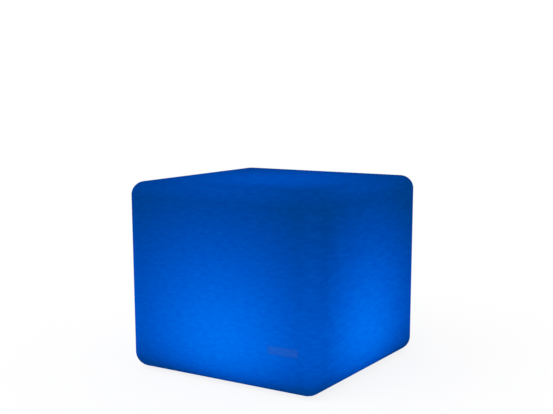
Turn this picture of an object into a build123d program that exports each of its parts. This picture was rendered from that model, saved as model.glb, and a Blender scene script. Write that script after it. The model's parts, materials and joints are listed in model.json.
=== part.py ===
from build123d import *
from collections import namedtuple
from math import cos, hypot, radians, sin
import os

# Rechargeable LED light cube for the garden, also used as a seat.
# Millimetres. +Z is up, z = 0 is the floor, the origin is the middle of the footprint.
# The face with the blank plate looks along -Y.

# ---------------------------------------------------------------- driving dimensions

# moulded cube
cube_width = 400.0
cube_depth = 400.0
cube_height = 350.0
wall = 4.0
side_edge_radius = 30.0
top_edge_radius = 25.0
bottom_edge_radius = 28.0

# blank plate low on the front face
plate_length = 60.0
plate_height = 14.0
plate_thickness = 1.0
plate_sunk = 0.2
plate_inset = 62.0
plate_z = 81.0
plate_corner = 3.0

# feet in pockets under the cube
foot_proud = 3.0
foot_radius = 14.0
foot_pocket_depth = 6.0
foot_inset = 60.0
foot_chamfer = 1.0
foot_counterbore = 4.0
foot_counterbore_gap = 1.0

# brass inserts moulded into the cube, and the bosses round them
insert_radius = 4.0
insert_length = 12.0
insert_waist_depth = 0.6
insert_waist_length = 3.0
insert_boss_wall = 3.0
insert_boss_cap = 4.0
insert_tip_room = 2.0
base_screw_length = 16.0

# round recess under the cube, closing cover and gasket
recess_margin = 11.0
recess_mouth_radius = 5.0
cover_thickness = 4.0
cover_land = 18.0
cover_rim_chamfer = 1.2
gasket_thickness = 2.0
gasket_width = 15.0
cover_screw_count = 6
washer_radius = 4.6
washer_thickness = 0.8

# module housing
housing_wall = 2.5
housing_top = 3.0
housing_flange_width = 4.0
housing_flange_thickness = 2.5
housing_seal_thickness = 1.0
post_radius = 4.2
post_height = 16.0
post_web = 3.0
post_count = 4
post_screw_length = 12.0
boss_wall = 1.9
screw_tip_room = 1.0

# cells of the 18650 size, and what holds them
cell_count = 2
cell_diameter = 18.4
cell_length = 65.0
cell_spacing = 1.0
tray_front_y = 2.0
tray_floor = 2.0
tray_wall = 1.6
tray_wall_height = 9.0
tray_wall_setback = 6.0
tray_end_room = 2.8
tab_thickness = 0.3
tab_height = 12.0
tab_overlap = 4.0
pad_thickness = 1.5
pad_margin = 3.0
strap_thickness = 1.2
strap_width = 10.0
strap_offset = 14.0
strap_foot = 7.0
strap_boss_height = 6.0
strap_screw_length = 6.0

# control board and what is soldered on it
board_length = 48.0
board_width = 34.0
board_thickness = 1.6
board_x = -14.0
board_y = -25.0
standoff_height = 10.0
standoff_radius = 3.2
standoff_inset = 4.0
board_screw_length = 8.0
plug_size = (8.0, 6.0, 6.0)
battery_plug_offset = (5.0, 10.0)
charge_plug_offset = (19.0, 3.0)
controller_size = (7.0, 7.0, 1.0)
controller_offset = (3.0, -7.0)
coil_size = (8.0, 8.0, 4.0)
coil_offset = (12.0, -7.0)
capacitor_radius = 3.0
capacitor_height = 7.0
capacitor_offset = (-10.0, 10.0)
signal_chip_size = (2.0, 1.2, 1.0)

# light board on its heat spreader, under the dome
spreader_radius = 47.0
spreader_thickness = 2.0
light_board_margin = 1.0
light_board_thickness = 1.6
chip_size = 5.0
chip_height = 1.6
chip_ring_counts = (12, 8, 4)
chip_ring_radii = (40.0, 24.0, 12.0)
chip_ring_turns = (0.0, 22.5, 45.0)
light_screw_circle = 32.0
light_screw_count = 4
light_screw_length = 8.0
receiver_size = (7.0, 5.0, 6.0)
dome_gap = 1.5
dome_seal_thickness = 1.0
dome_flange_thickness = 2.5
dome_wall = 2.0
dome_rise = 28.0
dome_screw_count = 4
dome_screw_turn = 45.0
dome_screw_length = 8.0

# lead from the control board up to the light board
light_lead_radius = 1.5
light_lead_bend = 4.0
light_lead_run = 2.0
light_lead_circle = 39.0
light_lead_angle = 225.0
light_plug_size = (8.0, 6.0, 5.0)
lead_hole_room = 1.1
grommet_wall = 1.2
grommet_lip = 1.4
grommet_lip_height = 1.2

# supply leads
wire_radius = 0.85
wire_bend = 3.0
battery_wire_pitch = 2.5
battery_wire_lane = 5.0
charge_wire_pitch = 5.0
charge_wire_rise = 5.0

# power button
button_x = -15.0
button_y = -25.0
button_radius = 6.0
button_travel = 1.5
button_proud = 2.0
button_flange = 2.0
button_flange_thickness = 1.2
button_actuator_radius = 2.0
button_dish_radius = 5.0
button_dish_depth = 0.6
button_stop_gap = 0.1
bezel_width = 3.2
bezel_thickness = 1.4
bezel_chamfer = 0.5
seal_cord_radius = 0.6
seal_squeeze = 0.03
seal_groove_depth = 1.2
seal_height = 1.2
switch_size = 6.0
switch_height = 3.5
plunger_radius = 1.75
plunger_height = 1.4
spring_wire_radius = 0.35
spring_radius = 6.6
spring_turns = 4

# charge socket for a 5.5 x 2.1 barrel plug, and its hinged cap
socket_x = 30.0
socket_y = -22.0
socket_bore = 3.15
socket_bore_depth = 10.8
socket_pin_radius = 1.05
socket_pin_sunk = 1.8
socket_barrel = 5.5
socket_length = 16.0
socket_flange = 7.0
socket_flange_thickness = 1.8
socket_chamfer = 0.6
socket_tab_size = (1.0, 3.0, 5.0)
nut_across_flats = 14.0
nut_thickness = 3.0
cap_floor_gap = 2.9
cap_radius = 8.0
cap_thickness = 2.0
cap_hinge_reach = 11.5
cap_arm_width = 8.0
cap_plug_radius = 2.7
cap_plug_height = 1.2
cap_grip = 1.5
cap_grip_width = 5.0
anchor_length = 6.5
anchor_stud_radius = 1.5
anchor_barb = 0.7
anchor_barb_height = 1.5

# light pipe of the charge signal, and pressure vent
pipe_x = 2.0
pipe_radius = 1.5
pipe_head = 0.8
vent_x = 46.0
vent_y = 20.0
vent_radius = 3.5
vent_head = 1.5
vent_rim = 0.5
vent_slot = 1.0

# clearances
bond_gap = 0.02
thread_gap = 0.05
slide_gap = 0.08
part_gap = 0.3
loose_gap = 2.0

# how far a cut runs past the face that it opens
overcut = 1.0

Screw = namedtuple("Screw", "radius head_radius head_height key depth")
M4 = Screw(2.0, 4.0, 2.6, 2.5, 1.5)
M3 = Screw(1.5, 2.75, 2.0, 2.0, 1.2)

# ---------------------------------------------------------------- heights, floor upwards

base_z = foot_proud
pocket_z = base_z + foot_pocket_depth
cap_mid = cap_floor_gap + cap_hinge_reach + cap_radius + cap_grip
cap_low = cap_mid - cap_thickness / 2
cap_high = cap_mid + cap_thickness / 2
socket_mouth = cap_high + part_gap
cover_bottom = socket_mouth + socket_flange_thickness
cover_top = cover_bottom + cover_thickness
ceiling_z = cover_top + gasket_thickness
cell_z = cover_top + tray_floor + part_gap / 2 + cell_diameter / 2
cells_top = cell_z + cell_diameter / 2
pad_low = cells_top + thread_gap
strap_top = pad_low + pad_thickness + part_gap + strap_thickness
strap_foot_low = cover_top + strap_boss_height
board_low = cover_top + standoff_height
board_high = board_low + board_thickness
plugs_high = board_high + plug_size[2]
plunger_low = board_low - switch_height - plunger_height
socket_tabs_high = cover_bottom + socket_length + socket_tab_size[2]
charge_wire_top = max(socket_tabs_high, plugs_high) + charge_wire_rise
contents_top = max(strap_top, charge_wire_top + wire_radius)
light_stack = spreader_thickness + light_board_thickness + housing_top
light_boss_depth = max(light_screw_length - light_stack, 0.0) + screw_tip_room
housing_low = cover_top + housing_seal_thickness
housing_roof = contents_top + screw_tip_room + light_boss_depth
housing_high = housing_roof + housing_top
spreader_high = housing_high + spreader_thickness
light_board_high = spreader_high + light_board_thickness
light_lead_z = light_board_high + light_plug_size[2] / 2
dome_low = housing_high + dome_seal_thickness
dome_flange_high = dome_low + dome_flange_thickness
flange_low = cover_top + button_stop_gap
flange_high = flange_low + button_flange_thickness

# ---------------------------------------------------------------- plan sizes

cell_pitch = cell_diameter + cell_spacing
first_cell_y = tray_front_y + tray_wall + part_gap / 2 + cell_diameter / 2
last_cell_y = first_cell_y + cell_pitch * (cell_count - 1)
tray_back_y = last_cell_y + cell_diameter / 2 + part_gap / 2 + tray_wall
tray_half = cell_length / 2 + tray_end_room + tray_wall
strap_front_y = tray_front_y - part_gap - strap_thickness
strap_back_y = tray_back_y + part_gap + strap_thickness
strap_screws = [
    (side * strap_offset, y)
    for side in (-1, 1) for y in (strap_front_y - strap_foot / 2, strap_back_y + strap_foot / 2)]
corner_x = board_length / 2 - standoff_inset
corner_y = board_width / 2 - standoff_inset
board_corners = [
    (board_x + side_x * corner_x, board_y + side_y * corner_y) for side_x in (-1, 1) for side_y in (-1, 1)]
light_board_radius = spreader_radius - light_board_margin
dome_inner = spreader_radius + dome_gap
dome_outer = dome_inner + dome_wall
board_reach = hypot(abs(board_x) + board_length / 2, abs(board_y) + board_width / 2)
tray_reach = hypot(tray_half, tray_back_y)
strap_reach = hypot(strap_offset + strap_width / 2, strap_back_y + strap_foot)
dome_reach = dome_outer + 2 * M3.head_radius
housing_inner = max(board_reach, tray_reach, strap_reach, dome_reach) + loose_gap
housing_outer = housing_inner + housing_wall
housing_flange = housing_inner + housing_flange_width
post_circle = housing_inner - post_radius - post_web
dome_screw_circle = (dome_outer + housing_outer) / 2
opening_radius = housing_flange + loose_gap
cover_radius = opening_radius + cover_land
cover_screw_circle = opening_radius + cover_land / 2
recess_radius = cover_radius + recess_margin
foot_x = cube_width / 2 - foot_inset
foot_y = cube_depth / 2 - foot_inset
feet = [(side_x * foot_x, side_y * foot_y) for side_x in (-1, 1) for side_y in (-1, 1)]
plate_x = cube_width / 2 - plate_inset
plate_back_y = plate_thickness + plate_sunk - cube_depth / 2
button_at = (button_x, button_y)
socket_at = (socket_x, socket_y)
pipe_at = (pipe_x, button_y)
vent_at = (vent_x, vent_y)
hinge_y = socket_y + cap_hinge_reach
anchor_y = hinge_y + cap_thickness / 2 + part_gap
anchor_stud_at = (socket_x, anchor_y + anchor_length / 2)
battery_plug_at = (board_x + battery_plug_offset[0], board_y + battery_plug_offset[1])
charge_plug_at = (board_x + charge_plug_offset[0], board_y + charge_plug_offset[1])
grommet_radius = light_lead_radius + thread_gap + grommet_wall


# ---------------------------------------------------------------- helpers

def polar(radius, angle):
    """Point at a radius and an angle in degrees."""
    return (radius * cos(radians(angle)), radius * sin(radians(angle)))


def spread(count, radius, start=0.0):
    """Evenly spaced points round a circle."""
    return [polar(radius, start + 360.0 * index / count) for index in range(count)]


def rod(radius, low, high, at=(0.0, 0.0)):
    """Upright cylinder between two heights."""
    return Pos(at[0], at[1], (low + high) / 2) * Cylinder(radius, high - low)


def tube(outer, inner, low, high, at=(0.0, 0.0)):
    """Upright ring between two heights."""
    return rod(outer, low, high, at) - rod(inner, low - overcut, high + overcut, at)


def block(low_x, high_x, low_y, high_y, low_z, high_z):
    """Square block between two corners."""
    middle = Pos((low_x + high_x) / 2, (low_y + high_y) / 2, (low_z + high_z) / 2)
    return middle * Box(high_x - low_x, high_y - low_y, high_z - low_z)


def brick(size, low, at):
    """Square block of a given size on a height, by its middle in plan."""
    return Pos(at[0], at[1], low + size[2] / 2) * Box(*size)


def rounded_block(shrink, low, high):
    """The cube's rounded form, drawn in by a distance on its sides."""
    half_x = cube_width / 2 - shrink
    half_y = cube_depth / 2 - shrink
    body = block(-half_x, half_x, -half_y, half_y, low, high)
    body = fillet(body.edges().filter_by(Axis.Z), side_edge_radius - shrink)
    body = fillet(body.faces().sort_by(Axis.Z)[-1].edges(), top_edge_radius - shrink)
    return fillet(body.faces().sort_by(Axis.Z)[0].edges(), bottom_edge_radius - shrink)


def screw(size, length, seat, at, upward=True):
    """Pan-head screw on its seat, with a hexagon socket in the head."""
    head = rod(size.head_radius, -size.head_height, 0)
    head = fillet(head.edges().sort_by(Axis.Z)[0], size.head_height / 3)
    key = extrude(RegularPolygon(size.key / 2, 6, major_radius=False), size.depth)
    body = head + rod(size.radius, 0, length) - Pos(0, 0, -size.head_height) * key
    turn = Rot(0, 0, 0) if upward else Rot(180, 0, 0)
    return Pos(at[0], at[1], seat) * turn * body


def lead(points, radius, bend):
    """Round wire along straight runs joined by tangent arcs."""
    path = FilletPolyline(*points, radius=bend)
    section = Plane(origin=path @ 0, z_dir=path % 0) * Circle(radius)
    return sweep(section, path=path)


def write(name, *solids):
    """One named sub-part, as one STEP file."""
    shape = solids[0] if len(solids) == 1 else Compound(children=list(solids))
    export_step(shape, os.path.join("parts", name + ".step"))


# ---------------------------------------------------------------- cube

def insert_hole(seat, at):
    """Blind hole for an insert, with room for the screw's tip."""
    top = seat + insert_length
    tip_room = rod(M4.radius + part_gap, seat, top + insert_tip_room, at)
    return rod(insert_radius + bond_gap, seat - overcut, top, at) + tip_room


def plate_form(front_y, grow):
    """Rounded plate in the front face, from its back to a given front."""
    outline = RectangleRounded(plate_length + 2 * grow, plate_height + 2 * grow, plate_corner)
    face = Pos(plate_x, plate_back_y, plate_z) * Rot(90, 0, 0) * outline
    return extrude(face, plate_back_y - front_y)


def cube_shell():
    """Hollow cube with an even wall, a round recess and four foot pockets underneath."""
    ceiling_inside = ceiling_z + wall
    boss_radius = insert_radius + insert_boss_wall
    boss_rise = insert_length + insert_boss_cap
    pocket_radius = foot_radius + part_gap
    inside = rounded_block(wall, base_z + wall, cube_height - wall)
    inside -= rod(recess_radius + wall, base_z, ceiling_inside)
    for at in spread(cover_screw_count, cover_screw_circle):
        inside -= rod(boss_radius, base_z, ceiling_z + boss_rise, at)
    for at in feet:
        inside -= rod(pocket_radius + wall, base_z, pocket_z + wall, at)
        inside -= rod(boss_radius, base_z, pocket_z + boss_rise, at)
    outside = rounded_block(0, base_z, cube_height) - rod(recess_radius, base_z - overcut, ceiling_z)
    mouth = outside.edges().filter_by(GeomType.CIRCLE).group_by(Axis.Z)[0]
    shell = fillet(mouth.sort_by(SortBy.RADIUS)[-1], recess_mouth_radius) - inside
    shell -= rod(opening_radius, ceiling_z - overcut, ceiling_inside + overcut)
    for at in spread(cover_screw_count, cover_screw_circle):
        shell -= insert_hole(ceiling_z, at)
    for at in feet:
        shell -= rod(pocket_radius, base_z - overcut, pocket_z, at)
        shell -= insert_hole(pocket_z, at)
    return shell - plate_form(-cube_depth / 2 - overcut, bond_gap)


def threaded_insert(seat, at):
    """Brass insert with a waist that keys it into the plastic."""
    middle = seat + insert_length / 2
    half = insert_waist_length / 2
    body = tube(insert_radius, M4.radius + thread_gap, seat, seat + insert_length, at)
    waist = insert_radius - insert_waist_depth
    return body - tube(insert_radius + overcut, waist, middle - half, middle + half, at)


def rubber_foot(at):
    """Foot in its pocket, counterbored for the screw."""
    foot = rod(foot_radius, 0, pocket_z, at)
    foot = chamfer(foot.edges().sort_by(Axis.Z)[0], foot_chamfer)
    foot -= rod(M4.head_radius + foot_counterbore_gap, -1, foot_counterbore, at)
    return foot - rod(M4.radius + part_gap, 0, pocket_z + overcut, at)


def cube_parts():
    """The cube with its plate, feet and inserts."""
    inserts = [threaded_insert(ceiling_z, at) for at in spread(cover_screw_count, cover_screw_circle)]
    inserts += [threaded_insert(pocket_z, at) for at in feet]
    write("cube_shell", cube_shell())
    write("blank_plate", plate_form(plate_sunk - cube_depth / 2, 0))
    write("threaded_inserts", *inserts)
    write("rubber_feet", *[rubber_foot(at) for at in feet])
    write("foot_screws", *[screw(M4, base_screw_length, foot_counterbore, at) for at in feet])


# ---------------------------------------------------------------- cover

def base_cover():
    """Round closing cover with its openings and the bosses that carry the inside parts."""
    cover = rod(cover_radius, cover_bottom, cover_top)
    cover = chamfer(cover.edges().sort_by(Axis.Z)[0], cover_rim_chamfer)
    for at in board_corners:
        tip = board_high - board_screw_length
        cover += rod(standoff_radius, cover_top, board_low, at)
        cover -= rod(M3.radius + thread_gap, tip - screw_tip_room, board_low + overcut, at)
    for at in strap_screws:
        tip = strap_foot_low + strap_thickness - strap_screw_length
        cover += rod(standoff_radius, cover_top, strap_foot_low, at)
        cover -= rod(M3.radius + thread_gap, tip - screw_tip_room, strap_foot_low + overcut, at)
    openings = [(at, M4.radius + part_gap) for at in spread(cover_screw_count, cover_screw_circle)]
    openings += [(at, M3.radius + part_gap) for at in spread(post_count, post_circle)]
    openings += [
        (button_at, button_radius + slide_gap), (socket_at, socket_barrel + thread_gap),
        (pipe_at, pipe_radius + bond_gap), (vent_at, vent_radius + bond_gap),
        (anchor_stud_at, anchor_stud_radius + bond_gap)]
    for at, radius in openings:
        cover -= rod(radius, cover_bottom - overcut, cover_top + overcut, at)
    return cover


def cover_gasket():
    """Flat gasket between the cover and the recess."""
    half = gasket_width / 2
    ring = tube(cover_screw_circle + half, cover_screw_circle - half, cover_top, ceiling_z)
    for at in spread(cover_screw_count, cover_screw_circle):
        ring -= rod(M4.radius + part_gap, cover_top - overcut, ceiling_z + overcut, at)
    return ring


def charge_indicator():
    """Clear pipe that brings the charge signal to the underside."""
    stem = rod(pipe_radius, cover_bottom, board_low - signal_chip_size[2] - part_gap, pipe_at)
    return stem + rod(pipe_radius + pipe_head, cover_bottom - pipe_head, cover_bottom, pipe_at)


def vent_plug():
    """Snap-in pressure vent with a slot across its head."""
    head_low = cover_bottom - vent_head
    plug = rod(vent_radius + vent_head, head_low, cover_bottom, vent_at)
    plug = chamfer(plug.edges().sort_by(Axis.Z)[0], vent_rim)
    plug += rod(vent_radius, cover_bottom, cover_top, vent_at)
    plug += rod(vent_radius + vent_rim, cover_top, cover_top + vent_rim, vent_at)
    slot = (2 * (vent_radius + vent_head), vent_slot, 2 * vent_rim)
    return plug - brick(slot, head_low - vent_rim, vent_at)


def cover_parts():
    """The cover with its gasket and screws, light pipe and vent."""
    screws = spread(cover_screw_count, cover_screw_circle)
    washer_low = cover_bottom - washer_thickness
    washer_hole = M4.radius + part_gap / 2
    write("base_cover", base_cover())
    write("cover_gasket", cover_gasket())
    write("cover_washers", *[tube(washer_radius, washer_hole, washer_low, cover_bottom, at) for at in screws])
    write("cover_screws", *[screw(M4, base_screw_length, washer_low, at) for at in screws])
    write("charge_indicator", charge_indicator())
    write("vent_plug", vent_plug())


# ---------------------------------------------------------------- power button

def power_button():
    """Round button with a stop flange, a switch actuator and a seal groove."""
    face = cover_bottom - button_proud
    groove_z = cover_bottom + seal_height
    half_groove = seal_cord_radius + thread_gap
    dish_ball = (button_dish_radius ** 2 + button_dish_depth ** 2) / (2 * button_dish_depth)
    button = rod(button_radius, face, flange_low, button_at)
    button = fillet(button.edges().sort_by(Axis.Z)[0], button_dish_depth / 2)
    button += rod(button_radius + button_flange, flange_low, flange_high, button_at)
    actuator_top = plunger_low - button_stop_gap - button_travel
    button += rod(button_actuator_radius, flange_high, actuator_top, button_at)
    button -= tube(
        button_radius + overcut, button_radius - seal_groove_depth - thread_gap,
        groove_z - half_groove, groove_z + half_groove, button_at)
    return button - Pos(button_x, button_y, face + button_dish_depth - dish_ball) * Sphere(dish_ball)


def button_seal():
    """Ring in the button's groove that wipes the cover's bore."""
    ring_radius = button_radius + seal_squeeze - seal_cord_radius
    return Pos(button_x, button_y, cover_bottom + seal_height) * Torus(ring_radius, seal_cord_radius)


def button_bezel():
    """Raised ring round the button."""
    inner = button_radius + part_gap
    ring = tube(inner + bezel_width, inner, cover_bottom - bezel_thickness, cover_bottom, button_at)
    return chamfer(ring.edges().group_by(Axis.Z)[0].sort_by(SortBy.RADIUS)[-1], bezel_chamfer)


def button_spring():
    """Coil spring between the button's flange and the control board."""
    seat_gap = part_gap / 2
    low = flange_high + seat_gap + spring_wire_radius
    rise = board_low - seat_gap - spring_wire_radius - low
    coil = Helix(pitch=rise / spring_turns, height=rise, radius=spring_radius)
    section = Plane(origin=coil @ 0, z_dir=coil % 0) * Circle(spring_wire_radius)
    return Pos(button_x, button_y, low) * sweep(section, path=coil)


def tact_switch():
    """Push switch under the control board, plunger down."""
    body = brick((switch_size, switch_size, switch_height), board_low - switch_height, button_at)
    return body + rod(plunger_radius, plunger_low, board_low - switch_height, button_at)


def button_parts():
    """The power button's sub-parts."""
    write("power_button", power_button())
    write("button_seal", button_seal())
    write("button_bezel", button_bezel())
    write("button_spring", button_spring())
    write("tact_switch", tact_switch())


# ---------------------------------------------------------------- charge socket

def charge_socket():
    """Panel socket with a centre pin and two solder tabs."""
    barrel_top = cover_bottom + socket_length
    socket = rod(socket_flange, socket_mouth, cover_bottom, socket_at)
    socket = chamfer(socket.edges().sort_by(Axis.Z)[0], socket_chamfer)
    socket += rod(socket_barrel, cover_bottom, barrel_top, socket_at)
    for side in (-1, 1):
        socket += brick(socket_tab_size, barrel_top, (socket_x, socket_y + side * charge_wire_pitch / 2))
    bore_top = socket_mouth + socket_bore_depth
    socket -= rod(socket_bore, socket_mouth - overcut, bore_top, socket_at)
    return socket + rod(socket_pin_radius, socket_mouth + socket_pin_sunk, bore_top, socket_at)


def socket_nut():
    """Hexagon nut that clamps the socket to the cover."""
    nut = extrude(RegularPolygon(nut_across_flats / 2, 6, major_radius=False), nut_thickness)
    nut = Pos(socket_x, socket_y, cover_top) * nut
    nut_top = cover_top + nut_thickness
    return nut - rod(socket_barrel + thread_gap, cover_top - overcut, nut_top + overcut, socket_at)


def port_flap():
    """Cap with its plug, grip, arm and rounded hinge edge."""
    half = cap_arm_width / 2
    grip = cap_grip_width / 2
    flap = rod(cap_radius, cap_low, cap_high, socket_at)
    flap += block(socket_x - half, socket_x + half, socket_y, hinge_y, cap_low, cap_high)
    edge_y = socket_y - cap_radius
    flap += block(socket_x - grip, socket_x + grip, edge_y - cap_grip, socket_y, cap_low, cap_mid)
    flap += Pos(socket_x, hinge_y, cap_mid) * Rot(0, 90, 0) * Cylinder(cap_thickness / 2, cap_arm_width)
    return flap + rod(cap_plug_radius, cap_high, socket_mouth + cap_plug_height, socket_at)


def flap_anchor():
    """Block beside the hinge edge, held by a barbed stud through the cover."""
    half = cap_arm_width / 2
    far_y = anchor_y + anchor_length
    barb_top = cover_top + anchor_barb_height
    anchor = block(socket_x - half, socket_x + half, anchor_y, far_y, cap_low, cover_bottom)
    anchor = fillet(anchor.edges().filter_by(Axis.Z).group_by(Axis.Y)[-1], cap_thickness)
    anchor += rod(anchor_stud_radius, cover_bottom, cover_top, anchor_stud_at)
    return anchor + rod(anchor_stud_radius + anchor_barb, cover_top, barb_top, anchor_stud_at)


def socket_parts():
    """The charge socket's sub-parts."""
    write("charge_socket", charge_socket())
    write("socket_nut", socket_nut())
    write("port_flap", port_flap())
    write("flap_anchor", flap_anchor())


# ---------------------------------------------------------------- module housing

def module_housing():
    """Cup over the cells and the control board, with screw posts and a flat roof."""
    post_top = cover_top + post_height
    housing = rod(housing_outer, housing_low, housing_high)
    housing += rod(housing_flange, housing_low, housing_low + housing_flange_thickness)
    housing -= rod(housing_inner, housing_low - overcut, housing_roof)
    half_web = post_web / 2
    web = block(post_circle, housing_inner + housing_wall / 2, -half_web, half_web, housing_low, post_top)
    for index, at in enumerate(spread(post_count, post_circle)):
        housing += rod(post_radius, cover_top, post_top, at) + Rot(0, 0, index * 360 / post_count) * web
        tip = cover_bottom + post_screw_length
        housing -= rod(M3.radius + thread_gap, cover_top - overcut, tip + screw_tip_room, at)
    for at in spread(light_screw_count, light_screw_circle):
        housing += rod(M3.radius + boss_wall, housing_roof - light_boss_depth, housing_roof, at)
        tip = light_board_high - light_screw_length
        housing -= rod(M3.radius + thread_gap, tip, housing_high + overcut, at)
    for at in spread(dome_screw_count, dome_screw_circle, dome_screw_turn):
        tip = dome_flange_high - dome_screw_length
        housing += rod(M3.radius + boss_wall, tip - screw_tip_room, housing_roof, at)
        housing -= rod(M3.radius + thread_gap, tip, housing_high + overcut, at)
    lead_at = polar(light_lead_circle, light_lead_angle)
    return housing - rod(grommet_radius, housing_roof - overcut, housing_high + overcut, lead_at)


def lead_grommet():
    """Rubber ring with two lips in the housing's roof."""
    at = polar(light_lead_circle, light_lead_angle)
    low = housing_roof - grommet_lip_height
    high = housing_high + grommet_lip_height
    grommet = rod(grommet_radius - bond_gap, low, high, at)
    grommet += rod(grommet_radius + grommet_lip, low, housing_roof, at)
    grommet += rod(grommet_radius + grommet_lip, housing_high, high, at)
    return grommet - rod(light_lead_radius + thread_gap, low - overcut, high + overcut, at)


def housing_parts():
    """The housing with its seal and screws."""
    posts = spread(post_count, post_circle)
    write("module_housing", module_housing())
    write("housing_seal", tube(housing_flange, housing_inner, cover_top, housing_low))
    write("housing_screws", *[screw(M3, post_screw_length, cover_bottom, at) for at in posts])
    write("lead_grommet", lead_grommet())


# ---------------------------------------------------------------- cells

def battery_tray():
    """Tray with low walls round the cells."""
    wall_top = cover_top + tray_floor + tray_wall_height
    wall_half = cell_length / 2 - tray_wall_setback
    end_low_y = first_cell_y
    end_high_y = last_cell_y
    tray = block(-tray_half, tray_half, tray_front_y, tray_back_y, cover_top, cover_top + tray_floor)
    tray += block(-wall_half, wall_half, tray_front_y, tray_front_y + tray_wall, cover_top, wall_top)
    tray += block(-wall_half, wall_half, tray_back_y - tray_wall, tray_back_y, cover_top, wall_top)
    tray += block(-tray_half, tray_wall - tray_half, end_low_y, end_high_y, cover_top, wall_top)
    return tray + block(tray_half - tray_wall, tray_half, end_low_y, end_high_y, cover_top, wall_top)


def battery_cell(index):
    """One cell, lying along X."""
    y = first_cell_y + index * cell_pitch
    return Pos(0, y, cell_z) * Rot(0, 90, 0) * Cylinder(cell_diameter / 2, cell_length)


def cell_tab(side):
    """Strip that joins the cells at one end."""
    size = (tab_thickness, last_cell_y - first_cell_y + 2 * tab_overlap, tab_height)
    middle_y = (first_cell_y + last_cell_y) / 2
    return Pos(side * (cell_length + tab_thickness) / 2, middle_y, cell_z) * Box(*size)


def battery_strap(side):
    """Strap over the cells, with a foot at each end."""
    low_x = side * strap_offset - strap_width / 2
    high_x = low_x + strap_width
    foot_high = strap_foot_low + strap_thickness
    outside = block(low_x, high_x, strap_front_y, strap_back_y, strap_foot_low, strap_top)
    inside = block(
        low_x - overcut, high_x + overcut, strap_front_y + strap_thickness, strap_back_y - strap_thickness,
        strap_foot_low - overcut, strap_top - strap_thickness)
    strap = outside - inside
    strap += block(low_x, high_x, strap_front_y - strap_foot, strap_front_y, strap_foot_low, foot_high)
    strap += block(low_x, high_x, strap_back_y, strap_back_y + strap_foot, strap_foot_low, foot_high)
    for at in strap_screws:
        strap -= rod(M3.radius + part_gap, strap_foot_low - overcut, foot_high + overcut, at)
    return strap


def battery_wire(side):
    """Wire from the tab at one end, along the gap by the board, into its plug."""
    start_x = side * (cell_length / 2 + tab_thickness + wire_radius)
    plug_x = battery_plug_at[0] + side * battery_wire_pitch / 2
    plug_y = battery_plug_at[1] + plug_size[1] / 2
    lane_y = tray_front_y - battery_wire_lane
    height = board_high + plug_size[2] / 2
    points = [
        (start_x, first_cell_y, height), (start_x, lane_y, height),
        (plug_x, lane_y, height), (plug_x, plug_y, height)]
    return lead(points, wire_radius, wire_bend)


def cell_parts():
    """The cells with their tray, pad, straps and wires."""
    pad_half = cell_length / 2 - pad_margin
    foot_high = strap_foot_low + strap_thickness
    pad = block(-pad_half, pad_half, first_cell_y, last_cell_y, pad_low, pad_low + pad_thickness)
    write("battery_tray", battery_tray())
    write("battery_cells", *[battery_cell(index) for index in range(cell_count)])
    write("cell_tabs", cell_tab(-1), cell_tab(1))
    write("battery_pad", pad)
    write("battery_straps", battery_strap(-1), battery_strap(1))
    write("strap_screws", *[screw(M3, strap_screw_length, foot_high, at, False) for at in strap_screws])
    write("battery_leads", battery_wire(-1), battery_wire(1))


# ---------------------------------------------------------------- control board

def control_board():
    """Circuit board on four standoffs."""
    board = brick((board_length, board_width, board_thickness), board_low, (board_x, board_y))
    for at in board_corners:
        board -= rod(M3.radius + part_gap / 2, board_low - overcut, board_high + overcut, at)
    return board


def on_board(size, offset):
    """Square part on the control board's upper side."""
    return brick(size, board_high, (board_x + offset[0], board_y + offset[1]))


def board_parts():
    """Controller, coil, capacitor, and the signal chip underneath."""
    capacitor_at = (board_x + capacitor_offset[0], board_y + capacitor_offset[1])
    return [
        on_board(controller_size, controller_offset),
        on_board(coil_size, coil_offset),
        rod(capacitor_radius, board_high, board_high + capacitor_height, capacitor_at),
        brick(signal_chip_size, board_low - signal_chip_size[2], pipe_at)]


def board_connectors():
    """Plugs of the cells, the charge socket and the light board."""
    charge_size = (plug_size[1], plug_size[0] + wire_radius, plug_size[2])
    return [
        brick(plug_size, board_high, battery_plug_at),
        brick(charge_size, board_high, charge_plug_at),
        brick(plug_size, board_high, polar(light_lead_circle, light_lead_angle))]


def charge_wire(side):
    """Wire from a socket tab over to the charge plug."""
    y = socket_y + side * charge_wire_pitch / 2
    plug_x = charge_plug_at[0]
    points = [
        (socket_x, y, socket_tabs_high), (socket_x, y, charge_wire_top),
        (plug_x, y, charge_wire_top), (plug_x, y, plugs_high)]
    return lead(points, wire_radius, wire_bend)


def control_parts():
    """The control board with what is on it."""
    write("control_board", control_board())
    write("board_parts", *board_parts())
    write("board_connectors", *board_connectors())
    write("board_screws", *[screw(M3, board_screw_length, board_high, at, False) for at in board_corners])
    write("charge_leads", charge_wire(-1), charge_wire(1))


# ---------------------------------------------------------------- light board and dome

def light_disc(radius, low, high, lead_hole):
    """Disc of the light stack, with its screw holes and the hole for the lead."""
    disc = rod(radius, low, high)
    for at in spread(light_screw_count, light_screw_circle):
        disc -= rod(M3.radius + part_gap, low - overcut, high + overcut, at)
    return disc - rod(lead_hole, low - overcut, high + overcut, polar(light_lead_circle, light_lead_angle))


def led_chips():
    """Square light-emitting chips in rings, each turned to face outwards."""
    size = (chip_size, chip_size, chip_height)
    chips = []
    for count, radius, start in zip(chip_ring_counts, chip_ring_radii, chip_ring_turns):
        first = brick(size, light_board_high, (radius, 0))
        chips += [Rot(0, 0, start + 360.0 * index / count) * first for index in range(count)]
    return chips


def ir_receiver():
    """Remote-control receiver with a rounded front, in the middle of the light board."""
    length, width, height = receiver_size
    straight = height - width / 2
    body = brick((length, width, straight), light_board_high, (0, 0))
    lens = Pos(0, 0, light_board_high + straight) * Sphere(width / 2)
    return body + (lens & block(-length, length, -width, width, light_board_high, light_board_high + height))


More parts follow.
